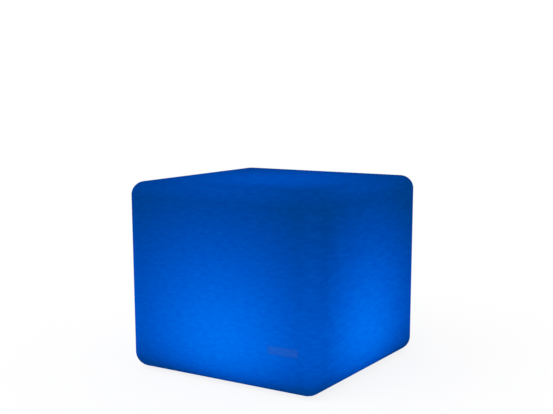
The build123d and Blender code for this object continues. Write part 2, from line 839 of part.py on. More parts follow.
def diffuser_dome():
    """Opal dome of even wall with a screw flange."""
    ball = (dome_outer ** 2 + dome_rise ** 2) / (2 * dome_rise)
    centre = Pos(0, 0, dome_flange_high + dome_rise - ball)
    shell = centre * Sphere(ball) - centre * Sphere(ball - dome_wall)
    shell &= rod(dome_outer + overcut, dome_flange_high, dome_flange_high + dome_rise + overcut)
    dome = shell + tube(housing_outer, dome_inner, dome_low, dome_flange_high)
    for at in spread(dome_screw_count, dome_screw_circle, dome_screw_turn):
        dome -= rod(M3.radius + part_gap, dome_low - overcut, dome_flange_high + overcut, at)
    return dome


def dome_seal():
    """Flat ring under the dome's flange."""
    seal = tube(housing_outer, dome_inner, housing_high, dome_low)
    for at in spread(dome_screw_count, dome_screw_circle, dome_screw_turn):
        seal -= rod(M3.radius + part_gap, housing_high - overcut, dome_low + overcut, at)
    return seal


def led_connector():
    """Plug on the light board, its mouth towards the lead."""
    outer = light_lead_circle - light_lead_bend - light_lead_run
    plug = brick(light_plug_size, light_board_high, (outer - light_plug_size[0] / 2, 0))
    return Rot(0, 0, light_lead_angle) * plug


def led_lead():
    """Lead from the control board up through the roof, then inwards to its plug."""
    upright = polar(light_lead_circle, light_lead_angle)
    inner = polar(light_lead_circle - light_lead_bend - light_lead_run, light_lead_angle)
    points = [(*upright, plugs_high), (*upright, light_lead_z), (*inner, light_lead_z)]
    return lead(points, light_lead_radius, light_lead_bend)


def light_parts():
    """The light board with its heat spreader, chips, plug and dome."""
    light_screws = spread(light_screw_count, light_screw_circle)
    dome_screws = spread(dome_screw_count, dome_screw_circle, dome_screw_turn)
    spreader_hole = grommet_radius + grommet_lip + part_gap
    board_hole = light_lead_radius + lead_hole_room
    write("heat_spreader", light_disc(spreader_radius, housing_high, spreader_high, spreader_hole))
    write("led_board", light_disc(light_board_radius, spreader_high, light_board_high, board_hole))
    write("led_chips", *led_chips())
    write("ir_receiver", ir_receiver())
    write("led_connector", led_connector())
    write("led_lead", led_lead())
    disc_screws = [screw(M3, light_screw_length, light_board_high, at, False) for at in light_screws]
    write("led_board_screws", *disc_screws)
    write("diffuser_dome", diffuser_dome())
    write("dome_seal", dome_seal())
    write("dome_screws", *[screw(M3, dome_screw_length, dome_flange_high, at, False) for at in dome_screws])


os.makedirs("parts", exist_ok=True)
cube_parts()
cover_parts()
button_parts()
socket_parts()
housing_parts()
cell_parts()
control_parts()
light_parts()
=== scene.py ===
import json
import math

import bmesh
import bpy
import numpy as np
from mathutils import Matrix, Vector


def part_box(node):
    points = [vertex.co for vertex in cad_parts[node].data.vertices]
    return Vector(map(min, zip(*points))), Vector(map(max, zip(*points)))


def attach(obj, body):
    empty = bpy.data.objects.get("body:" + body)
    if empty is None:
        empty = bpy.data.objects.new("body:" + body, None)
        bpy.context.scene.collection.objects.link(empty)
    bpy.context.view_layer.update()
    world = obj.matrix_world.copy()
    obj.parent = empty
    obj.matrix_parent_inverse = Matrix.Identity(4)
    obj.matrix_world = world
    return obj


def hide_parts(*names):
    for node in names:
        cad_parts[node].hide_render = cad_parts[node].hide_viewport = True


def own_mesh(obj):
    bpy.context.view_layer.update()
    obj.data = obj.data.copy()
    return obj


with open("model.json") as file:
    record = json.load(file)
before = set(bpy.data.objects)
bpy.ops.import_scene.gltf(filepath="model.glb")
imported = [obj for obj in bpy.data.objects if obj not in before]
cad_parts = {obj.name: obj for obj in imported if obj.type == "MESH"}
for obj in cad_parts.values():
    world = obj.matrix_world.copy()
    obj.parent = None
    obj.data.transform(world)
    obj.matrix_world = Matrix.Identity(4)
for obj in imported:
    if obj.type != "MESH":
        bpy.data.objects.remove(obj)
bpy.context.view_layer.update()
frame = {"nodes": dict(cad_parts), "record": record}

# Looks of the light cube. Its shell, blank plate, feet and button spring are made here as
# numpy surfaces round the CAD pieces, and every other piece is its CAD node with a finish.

MM = 0.001


def box_mm(node):
    """Lowest and highest corner of a CAD node, in millimetres to a thousandth."""
    return [np.round(np.array(corner) / MM, 3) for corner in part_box(node)]


# ------------------------------------------------------------------ sizes, in millimetres

# cube's outside
shell_low, shell_high = box_mm("cube_shell")
HALF_WIDTH = shell_high[0]
TOP = shell_high[2]
BASE = shell_low[2]
SIDE_RADIUS = 30.0
TOP_RADIUS = 25.0
BASE_RADIUS = 28.0
WALL = 4.0

# recess under the base, round the cover that closes the opening in its flat top
COVER_RADIUS = box_mm("base_cover")[1][0]
COVER_MARGIN = 11.0
COVER_LAND = 18.0
RECESS_RADIUS = COVER_RADIUS + COVER_MARGIN
RECESS_LIP = 5.0
RECESS_TOP = box_mm("cover_gasket")[1][2]
OPENING_RADIUS = COVER_RADIUS - COVER_LAND

# broken edge round the seats of plate and feet
SEAT_RIM = 0.3

# feet
feet_high = box_mm("rubber_feet")[1]
FOOT_RADIUS = 14.0
FOOT_HEIGHT = feet_high[2]
FOOT_PLACE = feet_high[0] - FOOT_RADIUS
FOOT_GAP = 0.3
FOOT_POCKET_RADIUS = FOOT_RADIUS + FOOT_GAP
FOOT_POCKET_DEPTH = FOOT_HEIGHT - BASE
FOOT_EDGE = 1.0
SCREW_RADIUS = 2.3
SCREW_HEAD_RADIUS = 5.0
SCREW_HEAD_DEPTH = 4.0
SCREW_HEAD_CHAMFER = 0.4
GROOVE_RADII = (7.0, 9.2, 11.4)
GROOVE_DEPTH = 0.7
HALF_GROOVE_MOUTH = 0.5
HALF_GROOVE_FLOOR = 0.3

# blank plate low on the front's right
plate_low, plate_high = box_mm("blank_plate")
PLATE_X, _, PLATE_Z = (plate_low + plate_high) / 2
PLATE_FRONT = plate_low[1]
PLATE_THICKNESS = plate_high[1] - plate_low[1]
PLATE_CORNER = 3.0
PLATE_CORE = (plate_high - plate_low)[[0, 2]] / 2 - PLATE_CORNER
PLATE_SOFTENING = 0.3
PLATE_GAP = 0.1
PLATE_SEAT_DEPTH = HALF_WIDTH + plate_high[1]

# spring between the button's flange and the control board
seal_low, seal_high = box_mm("button_seal")
BUTTON_X, BUTTON_Y, _ = (seal_low + seal_high) / 2
SPRING_RADIUS = 6.6
SPRING_WIRE_RADIUS = 0.35
SPRING_TURNS = 4
SPRING_LOW = 32.8
SPRING_RISE = 7.7

# how finely rounds are drawn: a quarter round, the plate's four corners together, a foot's
# circle, one turn of the spring, and its wire
QUARTER_STEPS = 16
PLATE_STEPS = 48
FOOT_STEPS = 64
TURN_STEPS = 32
WIRE_SIDES = 12


# ------------------------------------------------------------------ node helpers

def lin(code):
    """Turns an sRGB hex colour into linear light."""
    parts = [int(code[i:i + 2], 16) / 255 for i in (0, 2, 4)]
    return [c / 12.92 if c <= 0.04045 else ((c + 0.055) / 1.055) ** 2.4 for c in parts] + [1.0]


def add(tree, kind, settings=None, **inputs):
    """Adds a node. Settings are its own fields. Inputs are named, or numbered as n0, n1,
    and each is a value, a socket to link from, or a node whose first output is linked."""
    node = tree.nodes.new(kind)
    for field, value in (settings or {}).items():
        setattr(node, field, value)
    for key, value in inputs.items():
        socket = node.inputs[int(key[1:]) if key[1:].isdigit() else key.replace("_", " ")]
        if isinstance(value, bpy.types.Node):
            tree.links.new(value.outputs[0], socket)
        elif isinstance(value, bpy.types.NodeSocket):
            tree.links.new(value, socket)
        else:
            socket.default_value = value
    return node


def blank_material(name, **fixed):
    """Makes a material whose surface shader has the given fixed values."""
    material = bpy.data.materials.new(name)
    material.use_nodes = True
    shader = material.node_tree.nodes["Principled BSDF"]
    for key, value in fixed.items():
        shader.inputs[key.replace("_", " ")].default_value = value
    return material, material.node_tree, shader


def dress(tree, shader, colour, grain, rough, strength, relief_mm):
    """Gives a shader its colour, a roughness between two values and a small relief, the
    last two led by the grain."""
    tree.links.new(colour, shader.inputs["Base Color"])
    roughness = add(tree, "ShaderNodeMapRange", None, Value=grain, n3=rough[0], n4=rough[1])
    tree.links.new(roughness.outputs[0], shader.inputs["Roughness"])
    bump = add(tree, "ShaderNodeBump", None, Strength=strength, Distance=relief_mm * MM, Height=grain)
    tree.links.new(bump.outputs[0], shader.inputs["Normal"])


# ------------------------------------------------------------------ the painted glow

# the lamp's light through the wall is painted into the shell's emission, with painted shade towards the floor
# and underneath
# where the light seems to come from inside the cube, in metres
LAMP = (0.0196, -0.0097, 0.0520)
# how the painted light changes per metre towards +X, +Y and +Z
LEAN = (-0.1145, -0.0676, 0.0)
# least cosine between wall and light that counts, and the power that cosines are taken to
LEAST_SLANT = 0.3
SLANT_POWER = 0.1167
# distances are counted in fifths of a metre
FIFTHS = 5.0
DISTANCE_POWER = -0.5536
# painted shade: share of the light lost at the floor, and how fast that loss fades per metre of height
RIM_PAINTED_SHADE = 0.4041
RIM_FADE = 38.76
# painted shade: share of the light lost on faces that look straight down
UNDERSIDE_PAINTED_SHADE = 0.05
# painted light that bounces about inside and reaches every wall, and how softly it takes over
BOUNCED = 0.66
BOUNCED_BLEND = 0.03

# blue is the light times the slope, plus the start
BLUE_SLOPE = 1.6388
BLUE_START = -0.86
# green is the blue's square times the share, plus the start
GREEN_SHARE = 0.172
GREEN_START = 0.0348

# powder fused to flat streaks, in millimetres: 15 long on front and back, 25 long at the
# sides, and 5 high
STREAK_MM = (15.0, 25.0, 5.0)
# how much streaks change blue and green, and the power of the light that they go with
BLUE_CHANGE = 0.18
GREEN_CHANGE = 0.028
STREAK_POWER = 1.3


def painted_lamp_light(tree):
    """Painted light that reaches a place on the shell, standing in for the lamp inside, as a
    product: cosine between wall and light to a power, distance from the lamp to a power,
    one less a painted shade that dies out exponentially with height, one plus a lean to one
    side, and one less a painted shade underneath. It never gets below the bounced light."""
    place = add(tree, "ShaderNodeTexCoord")
    spot = place.outputs["Object"]
    ray = add(tree, "ShaderNodeVectorMath", {"operation": "SUBTRACT"}, n0=spot, n1=LAMP)
    reach = add(tree, "ShaderNodeVectorMath", {"operation": "LENGTH"}, n0=ray)
    along = add(tree, "ShaderNodeVectorMath", {"operation": "NORMALIZE"}, n0=ray)
    facing = add(tree, "ShaderNodeVectorMath", {"operation": "DOT_PRODUCT"},
                 n0=along, n1=place.outputs["Normal"])
    slant = add(tree, "ShaderNodeMath", {"operation": "MAXIMUM"}, n0=facing.outputs["Value"], n1=LEAST_SLANT)
    slant = add(tree, "ShaderNodeMath", {"operation": "POWER"}, n0=slant, n1=SLANT_POWER)
    far = add(tree, "ShaderNodeMath", {"operation": "MULTIPLY"}, n0=reach.outputs["Value"], n1=FIFTHS)
    far = add(tree, "ShaderNodeMath", {"operation": "POWER"}, n0=far, n1=DISTANCE_POWER)
    height = add(tree, "ShaderNodeSeparateXYZ", None, n0=spot)
    low = add(tree, "ShaderNodeMath", {"operation": "MULTIPLY"}, n0=height.outputs["Z"], n1=-RIM_FADE)
    low = add(tree, "ShaderNodeMath", {"operation": "EXPONENT"}, n0=low)
    rim = add(tree, "ShaderNodeMath", {"operation": "MULTIPLY_ADD"}, n0=low, n1=-RIM_PAINTED_SHADE, n2=1.0)
    side = add(tree, "ShaderNodeVectorMath", {"operation": "DOT_PRODUCT"}, n0=spot, n1=LEAN)
    side = add(tree, "ShaderNodeMath", {"operation": "ADD"}, n0=side.outputs["Value"], n1=1.0)
    tilt = add(tree, "ShaderNodeSeparateXYZ", None, n0=place.outputs["Normal"])
    under = add(tree, "ShaderNodeMath", {"operation": "MINIMUM"}, n0=tilt.outputs["Z"], n1=0.0)
    under = add(tree, "ShaderNodeMath", {"operation": "MULTIPLY_ADD"}, n0=under, n1=UNDERSIDE_PAINTED_SHADE, n2=1.0)
    light = slant
    for share in (far, rim, side, under):
        light = add(tree, "ShaderNodeMath", {"operation": "MULTIPLY"}, n0=light, n1=share)
    light = add(tree, "ShaderNodeMath", {"operation": "SMOOTH_MAX"}, n0=light, n1=BOUNCED, n2=BOUNCED_BLEND)
    return spot, light


def painted_glow(name, blue_share, red, **fixed):
    """Painted glow: blue light of the lamp seen through a plastic wall, put into the emission.
    Blue rises in line with the light and green with the square of the blue, so the bright
    places are paler. Streaks of fused powder pass a little more or less of it, and show
    more in the bright places."""
    material, tree, shader = blank_material(name, **fixed)
    spot, light = painted_lamp_light(tree)
    streaks = add(tree, "ShaderNodeMapping", None, Vector=spot, Scale=[1 / (size * MM) for size in STREAK_MM])
    grain = add(tree, "ShaderNodeTexNoise", None, Vector=streaks, Scale=1.0, Detail=3.0)
    cloud = add(tree, "ShaderNodeMath", {"operation": "SUBTRACT"}, n0=grain, n1=0.5)
    strength = add(tree, "ShaderNodeMath", {"operation": "POWER"}, n0=light, n1=STREAK_POWER)
    cloud = add(tree, "ShaderNodeMath", {"operation": "MULTIPLY"}, n0=cloud, n1=strength)
    blue = add(tree, "ShaderNodeMath", {"operation": "MULTIPLY_ADD"}, n0=light, n1=BLUE_SLOPE, n2=BLUE_START)
    blue = add(tree, "ShaderNodeMath", {"operation": "MULTIPLY_ADD"}, n0=cloud, n1=BLUE_CHANGE, n2=blue)
    blue = add(tree, "ShaderNodeMath", {"operation": "MAXIMUM"}, n0=blue, n1=0.0)
    green = add(tree, "ShaderNodeMath", {"operation": "POWER"}, n0=blue, n1=2.0)
    green = add(tree, "ShaderNodeMath", {"operation": "MULTIPLY_ADD"},
                n0=green, n1=GREEN_SHARE, n2=GREEN_START)
    green = add(tree, "ShaderNodeMath", {"operation": "MULTIPLY_ADD"}, n0=cloud, n1=GREEN_CHANGE, n2=green)
    blue = add(tree, "ShaderNodeMath", {"operation": "MULTIPLY"}, n0=blue, n1=blue_share)
    colour = add(tree, "ShaderNodeCombineColor", None, n0=red, n1=green, n2=blue)
    tree.links.new(colour.outputs[0], shader.inputs["Emission Color"])
    shader.inputs["Emission Strength"].default_value = 1.0
    # the wall itself is drawn dark, because the room's light hardly shows beside the glow
    shade = add(tree, "ShaderNodeMix", {"data_type": "RGBA"}, n0=grain,
                n6=lin("000C28"), n7=lin("000F30"))
    dress(tree, shader, shade.outputs[2], grain, rough=(0.62, 0.74), strength=0.25, relief_mm=0.2)
    return material


# ------------------------------------------------------------------ plain finishes

# a noise keeps near its middle, so this part of it is drawn out to the whole range
GRAIN_SPAN = (0.28, 0.72)


def finish(name, dark, pale, grain_mm, rough, relief_mm,
           stretch=(1.0, 1.0, 1.0), texture="ShaderNodeTexNoise", **fixed):
    """A finish whose grain moves its colour between two shades, its roughness between
    two values and its surface by a small height."""
    material, tree, shader = blank_material(name, **fixed)
    place = add(tree, "ShaderNodeTexCoord")
    spread = add(tree, "ShaderNodeMapping", None, Vector=place.outputs["Object"], Scale=stretch)
    grain = add(tree, texture, None, Vector=spread, Scale=1 / (grain_mm * MM))
    grain = add(tree, "ShaderNodeMapRange", None, Value=grain, n1=GRAIN_SPAN[0], n2=GRAIN_SPAN[1])
    shade = add(tree, "ShaderNodeMix", {"data_type": "RGBA"}, n0=grain, n6=lin(dark), n7=lin(pale))
    dress(tree, shader, shade.outputs[2], grain, rough=rough, strength=0.6, relief_mm=relief_mm)
    return material


# Clouding, cells, wrinkles and flow marks are as wide as real ones. The grain of metals,
# epoxy and satin ABS, about a tenth of a millimetre, is too fine to show and is drawn 0.4
# to 1.2 mm wide.
finishes = {
    # rotomoulded polyethylene: dull and waxy, with a painted glow of the lamp's light through it
    "glow_polyethylene": painted_glow(
        "rotomoulded_polyethylene", blue_share=1.0, red=0.0, Specular_IOR_Level=0.0),

    # moulded plate of the same plastic, its painted glow a shade dimmer and greyer than the wall round it
    "plate": painted_glow(
        "moulded_plate", blue_share=0.87, red=0.009, Specular_IOR_Level=0.0),

    # moulded black rubber: dull, faintly clouded
    "black_rubber": finish(
        "moulded_rubber", "0D0D0E", "1A1A1B", grain_mm=2.0, rough=(0.7, 0.85), relief_mm=0.03),

    # cold-headed stainless steel: bright, with fine tumbling marks
    "stainless_screw": finish(
        "tumbled_stainless", "A9A8A5", "CBCAC6", grain_mm=0.8, rough=(0.25, 0.4), relief_mm=0.01,
        Metallic=1.0),

    # turned brass: yellow, with fine rings round its axis
    "brass": finish(
        "turned_brass", "A98545", "CBA75E", grain_mm=0.5, rough=(0.2, 0.35), relief_mm=0.01,
        stretch=(0.1, 0.1, 1.0), Metallic=1.0),

    # ABS moulded in a spark-eroded tool: charcoal with an even grain, drawn 1.6 mm wide, as the
    # real one of about 0.3 mm is too fine to show
    "cover_abs": finish(
        "spark_grained_abs", "16181A", "383B3F", grain_mm=1.6, rough=(0.5, 0.78), relief_mm=0.06),

    # ABS moulded in a polished tool: off-white, satin
    "housing_abs": finish(
        "moulded_white_abs", "D3D4D1", "DEDFDC", grain_mm=3.0, rough=(0.4, 0.5), relief_mm=0.01),

    # closed-cell rubber sheet, die-cut: charcoal with open cells on its cut edge
    "foam_rubber": finish(
        "die_cut_cell_rubber", "17171A", "303034", grain_mm=0.8, rough=(0.85, 0.95), relief_mm=0.12,
        texture="ShaderNodeTexVoronoi"),

    # polished polycarbonate light pipe: clear as glass
    "clear_pipe": finish(
        "polished_polycarbonate", "F2F6F8", "FFFFFF", grain_mm=2.0, rough=(0.03, 0.08), relief_mm=0.002,
        Transmission_Weight=0.85, IOR=1.585),

    # ABS button and bezel: pale grey, satin
    "button_abs": finish(
        "satin_grey_abs", "A9ADB1", "B9BDC0", grain_mm=0.9, rough=(0.4, 0.5), relief_mm=0.02),

    # moulded silicone: dark grey, soft-looking
    "silicone": finish(
        "moulded_silicone", "2A2C30", "36383D", grain_mm=1.6, rough=(0.5, 0.62), relief_mm=0.02,
        Sheen_Weight=0.15),

    # drawn spring wire: grey steel with fine marks
    "spring_steel": finish(
        "drawn_spring_wire", "8C8B88", "B4B3B0", grain_mm=0.4, rough=(0.25, 0.38), relief_mm=0.01,
        stretch=(1.0, 1.0, 4.0), Metallic=1.0),

    # nickel plate: warm bright metal
    "nickel": finish(
        "nickel_plate", "B8B2A5", "D2CDC1", grain_mm=1.2, rough=(0.12, 0.22), relief_mm=0.005,
        Metallic=1.0),

    # glass-filled nylon: black with pale flow marks
    "black_nylon": finish(
        "glass_filled_nylon", "121213", "252527", grain_mm=1.8, rough=(0.45, 0.62), relief_mm=0.04,
        stretch=(1.0, 3.0, 1.0)),

    # shrunk PVC sleeve: glossy blue with small wrinkles
    "cell_sleeve": finish(
        "shrunk_sleeve", "14577A", "1E7099", grain_mm=6.0, rough=(0.18, 0.3), relief_mm=0.05,
        stretch=(0.3, 1.0, 1.0), Coat_Weight=0.3),

    # green solder resist: glossy over slightly raised copper
    "board_green": finish(
        "green_solder_resist", "0B4323", "136034", grain_mm=2.5, rough=(0.2, 0.35), relief_mm=0.03,
        texture="ShaderNodeTexVoronoi"),

    # white solder resist: bright, satin
    "board_white": finish(
        "white_solder_resist", "DEDDD6", "ECEBE5", grain_mm=2.5, rough=(0.3, 0.45), relief_mm=0.02),

    # epoxy chip bodies: black, fine-grained
    "part_black": finish(
        "moulded_epoxy", "141415", "222224", grain_mm=0.5, rough=(0.5, 0.65), relief_mm=0.02),

    # natural nylon plug bodies: cream, a little waxy
    "plug_cream": finish(
        "natural_nylon", "D3CAB0", "E3DBC4", grain_mm=1.5, rough=(0.4, 0.52), relief_mm=0.02),

    # silicone filled with phosphor: glows blue
    "phosphor": finish(
        "filled_silicone_lens", "3F86E8", "6FB0FF", grain_mm=1.0, rough=(0.3, 0.4), relief_mm=0.01,
        Emission_Color=lin("2C7BFF"), Emission_Strength=1.5),

    # stamped aluminium sheet: rolled lines along its length
    "aluminium": finish(
        "rolled_aluminium", "B4B5B6", "D0D1D2", grain_mm=1.2, rough=(0.28, 0.42), relief_mm=0.01,
        stretch=(0.08, 1.0, 1.0), Metallic=1.0),

    # opal polycarbonate dome: milky, with a painted blue glow for the light of the LEDs beneath
    "opal": finish(
        "opal_polycarbonate", "D7E2EE", "E6EEF6", grain_mm=5.0, rough=(0.22, 0.32), relief_mm=0.01,
        Emission_Color=lin("1E6CF0"), Emission_Strength=0.6),

    # extruded PVC insulation: satin
    "wire_red": finish(
        "red_insulation", "8E1512", "A51D18", grain_mm=1.2, rough=(0.35, 0.48), relief_mm=0.01),
    "wire_white": finish(
        "white_insulation", "D8D8D4", "E6E6E2", grain_mm=1.2, rough=(0.35, 0.48), relief_mm=0.01),
}


# ------------------------------------------------------------------ shape helpers

def make_piece(name, points, faces, slot, body, *nodes):
    """Makes a piece from points in millimetres and four-cornered faces, joins its doubled
    points, and dresses it for the CAD nodes that it stands for."""
    mesh = bpy.data.meshes.new(name)
    mesh.from_pydata((points.reshape(-1, 3) * MM).tolist(), [], faces.reshape(-1, 4).tolist())
    work = bmesh.new()
    work.from_mesh(mesh)
    bmesh.ops.remove_doubles(work, verts=work.verts, dist=0.002 * MM)
    work.to_mesh(mesh)
    work.free()
    mesh.shade_smooth()
    mesh.set_sharp_from_angle(angle=math.radians(32))
    mesh.materials.append(finishes[slot])
    piece = bpy.data.objects.new(name, mesh)
    bpy.context.scene.collection.objects.link(piece)
    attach(piece, body)
    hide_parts(*nodes)
    return piece


def grid_faces(rows, columns):
    """Four-cornered faces of a grid whose last column joins its first, row by row."""
    row, column = np.meshgrid(np.arange(rows - 1), np.arange(columns), indexing="ij")
    beside = (column + 1) % columns
    here, below = row * columns, (row + 1) * columns
    return np.stack([here + column, below + column, below + beside, here + beside], -1)


# corners of the plan in the order in which its outline runs
CORNERS = ((1, -1), (1, 1), (-1, 1), (-1, -1))


# ------------------------------------------------------------------ the cube's shell

# columns of the grid along a side's straight part, closer where the plate's ends are
side_columns = [-170, -168, -160, -134, -106, -80, -50, -20, 20, 50, 80, 106,
                108, 110, 134, 150, 162, 164, 165.5, 167, 168.5, 170]

# rows of the grid down a side, closer where the plate's edges are
side_heights = [300, 270, 240, 210, 180, 150, 120, 105, 91, 90, 88.5, 87, 85.5, 83,
                79, 76.5, 75, 73.5, 72, 71, 55, 40, 31]

# how round each row across the base is, from the outline to the recess's mouth
base_shares = [0.08, 0.25, 0.45, 0.7, 1.0]

# columns and rows between which the plate's seat opens
PLATE_COLUMNS = (106, 170)
PLATE_ROWS = (91, 71)

# a foot's pocket opens from this column, round a corner to its like on the next side, and
# over this many rows across the base
FOOT_COLUMN = 134
FOOT_ROWS = 2

# rows up the recess's wall, and radii of the rows across its flat top
recess_heights = [16, 24, RECESS_TOP]
flat_radii = [84, 74, OPENING_RADIUS]

# rings across the top, and the turns of a quarter round
TOP_RINGS = 9
quarter = np.linspace(0, math.pi / 2, QUARTER_STEPS + 1)


def cube_outline():
    """Points and outward normals round the plan: four straight sides and four corner
    arcs, each side turned a quarter further than the one before."""
    core = HALF_WIDTH - SIDE_RADIUS
    straight = np.array(side_columns)
    arc = quarter[1:-1]
    flat_normals = np.tile([0.0, -1.0], (len(straight), 1))
    arc_normals = np.stack([np.sin(arc), -np.cos(arc)], -1)
    normals = np.concatenate([flat_normals, arc_normals])
    side = np.stack([straight, np.full_like(straight, -HALF_WIDTH)], -1)
    points = np.concatenate([side, [core, -core] + SIDE_RADIUS * arc_normals])
    turns = [np.array([[x, -y], [y, x]]) for x, y in ((1, 0), (0, -1), (-1, 0), (0, 1))]
    return [np.concatenate([part @ turn for turn in turns]) for part in (points, normals)]


def cube_profile():
    """Rows from the middle of the top, over the top edge, down the side, round the base
    edge, across the base to the recess, up it, and back inside the wall. Each row is the
    share of circle in its outline, its scale, inset, height and the circle's radius."""
    rows = [(0, scale, TOP_RADIUS, TOP, 0) for scale in np.linspace(0, 1, TOP_RINGS)]
    for turn in quarter[1:]:
        inset = TOP_RADIUS * (1 - math.sin(turn))
        rows.append((0, 1, inset, TOP - TOP_RADIUS * (1 - math.cos(turn)), 0))
    rows += [(0, 1, 0, height, 0) for height in side_heights]
    for turn in quarter[1:]:
        inset = BASE_RADIUS * (1 - math.cos(turn))
        rows.append((0, 1, inset, BASE + BASE_RADIUS * (1 - math.sin(turn)), 0))

    mouth = RECESS_RADIUS + RECESS_LIP
    rows += [(share, 1, BASE_RADIUS, BASE, mouth) for share in base_shares]
    for turn in quarter[2::2]:
        radius = mouth - RECESS_LIP * math.sin(turn)
        rows.append((1, 1, 0, BASE + RECESS_LIP * (1 - math.cos(turn)), radius))
    rows += [(1, 1, 0, height, RECESS_RADIUS) for height in recess_heights]
    rows += [(1, 1, 0, RECESS_TOP, radius) for radius in flat_radii]

    wall_radius = RECESS_RADIUS + WALL
    rows += [(1, 1, 0, RECESS_TOP + WALL, radius) for radius in (OPENING_RADIUS, wall_radius)]
    rows += [(1, 1, 0, BASE + WALL, wall_radius), (0, 1, BASE_RADIUS, BASE + WALL, 0)]
    for turn in quarter[4::4]:
        inner = BASE_RADIUS - WALL
        inset = WALL + inner * (1 - math.sin(turn))
        rows.append((0, 1, inset, BASE + WALL + inner * (1 - math.cos(turn)), 0))
    for turn in quarter[::4]:
        inner = TOP_RADIUS - WALL
        inset = WALL + inner * (1 - math.cos(turn))
        rows.append((0, 1, inset, TOP - WALL - inner * (1 - math.sin(turn)), 0))
    rows.append((0, 0, TOP_RADIUS, TOP - WALL, 0))
    return rows


def seat_patch(edge, middle, across, up, core, rings):
    """Fills a hole in a flat face with a seat: each point of the hole's edge has its
    nearest point on a rounded outline, and the rings follow that outline down the seat's
    wall and shrink across its floor to the middle. Each ring is its radius round the
    core, its depth and its scale."""
    flat = np.stack([(edge - middle) @ across, (edge - middle) @ up], -1)
    corner = np.clip(flat, -np.array(core), core)
    way = flat - corner
    way /= np.linalg.norm(way, axis=1, keepdims=True)
    inward = np.cross(up, across)
    layers = [edge]
    for radius, depth, scale in rings:
        spot = scale * (corner + radius * way)
        layers.append(middle + spot[:, :1] * across + spot[:, 1:] * up + depth * inward)
    return np.concatenate(layers), grid_faces(len(layers), len(edge)).reshape(-1, 4)


def cube_body():
    """The whole shell as one closed wall: every row is the plan's outline pushed inwards
    along its normals, or mixed with a circle under the base. Blocks of faces are left out
    where the plate and the feet sit, and a seat closes each."""
    plan, normals = cube_outline()
    bearing = np.arctan2(plan[:, 1], plan[:, 0])
    circle = np.stack([np.cos(bearing), np.sin(bearing)], -1)
    share, scale, inset, height, radius = (
        np.array(part)[:, None, None] for part in zip(*cube_profile()))
    flat = (1 - share) * scale * (plan - inset * normals) + share * radius * circle
    points = np.concatenate([flat, np.broadcast_to(height, flat.shape[:2] + (1,))], -1)
    rows, columns = points.shape[:2]
    keep = np.ones((rows - 1, columns), bool)
    all_points, all_faces = [points.reshape(-1, 3)], []
    count = rows * columns

    def open_seat(top, bottom, left, right, **shape):
        """Leaves out the faces between two rows and two columns and closes them with a seat."""
        nonlocal count
        across = np.arange(left, right + 1) % columns
        down = np.arange(top, bottom + 1)
        keep[np.ix_(down[:-1], across[:-1])] = False
        edge = np.concatenate([points[top, across[:-1]], points[down[:-1], across[-1]],
                               points[bottom, across[:0:-1]], points[down[:0:-1], across[0]]])
        patch, patch_faces = seat_patch(edge, **shape)
        all_points.append(patch)
        all_faces.append(patch_faces + count)
        count += len(patch)

    side_row = TOP_RINGS + QUARTER_STEPS
    plate_top, plate_bottom = (side_row + side_heights.index(height) for height in PLATE_ROWS)
    plate_left, plate_right = (side_columns.index(column) for column in PLATE_COLUMNS)
    seat = PLATE_CORNER + PLATE_GAP
    open_seat(plate_top, plate_bottom, plate_left, plate_right,
              middle=np.array([PLATE_X, -HALF_WIDTH, PLATE_Z]),
              across=np.array([1.0, 0, 0]), up=np.array([0, 0, 1.0]), core=PLATE_CORE,
              rings=[(seat + SEAT_RIM, 0, 1), (seat, SEAT_RIM, 1), (seat, PLATE_SEAT_DEPTH, 1),
                     (seat, PLATE_SEAT_DEPTH, 0.5), (0, PLATE_SEAT_DEPTH, 0)])

    base_row = side_row + len(side_heights) + QUARTER_STEPS
    side_length = len(plan) // len(CORNERS)
    pocket = FOOT_POCKET_RADIUS
    for k, (x, y) in enumerate(CORNERS):
        left = k * side_length + side_columns.index(FOOT_COLUMN)
        right = (k + 1) * side_length + side_columns.index(-FOOT_COLUMN)
        open_seat(base_row, base_row + FOOT_ROWS, left, right,
                  middle=np.array([x * FOOT_PLACE, y * FOOT_PLACE, BASE]),
                  across=np.array([1.0, 0, 0]), up=np.array([0, -1.0, 0]), core=(0, 0),
                  rings=[(pocket + SEAT_RIM, 0, 1), (pocket, SEAT_RIM, 1),
                         (pocket, FOOT_POCKET_DEPTH, 1), (0, FOOT_POCKET_DEPTH, 0)])

    all_faces.append(grid_faces(rows, columns)[keep])
    make_piece("cube_body", np.concatenate(all_points), np.concatenate(all_faces),
               "glow_polyethylene", "cube", "cube_shell")


cube_body()


# ------------------------------------------------------------------ plate and feet

def blank_plate():
    """A rounded bar's outline, carried from the middle of its back, round its edge and a
    softened front rim to the middle of its face. Each ring is its radius round the core,
    its depth behind the face and its scale."""
    turn = (np.arange(PLATE_STEPS) + 0.5) * 2 * math.pi / PLATE_STEPS
    way = np.stack([np.cos(turn), np.sin(turn)], -1)
    corner = np.sign(way) * PLATE_CORE
    edge, soft = PLATE_CORNER, PLATE_SOFTENING
    rings = [(0, PLATE_THICKNESS, 0), (edge, PLATE_THICKNESS, 1), (edge, soft, 1),
             (edge - soft / 3, soft / 3, 1), (edge - soft, 0, 1), (edge - soft, 0, 0.5), (0, 0, 0)]
    radius, depth, scale = (np.array(part)[:, None, None] for part in zip(*rings))
    flat = scale * (corner + radius * way)
    y = np.broadcast_to(PLATE_FRONT + depth, flat.shape[:2] + (1,))
    points = np.concatenate([flat[..., :1] + PLATE_X, y, flat[..., 1:] + PLATE_Z], -1)
    faces = grid_faces(len(rings), len(way))[..., ::-1]
    make_piece("plain_plate", points, faces, "plate", "cube", "blank_plate")


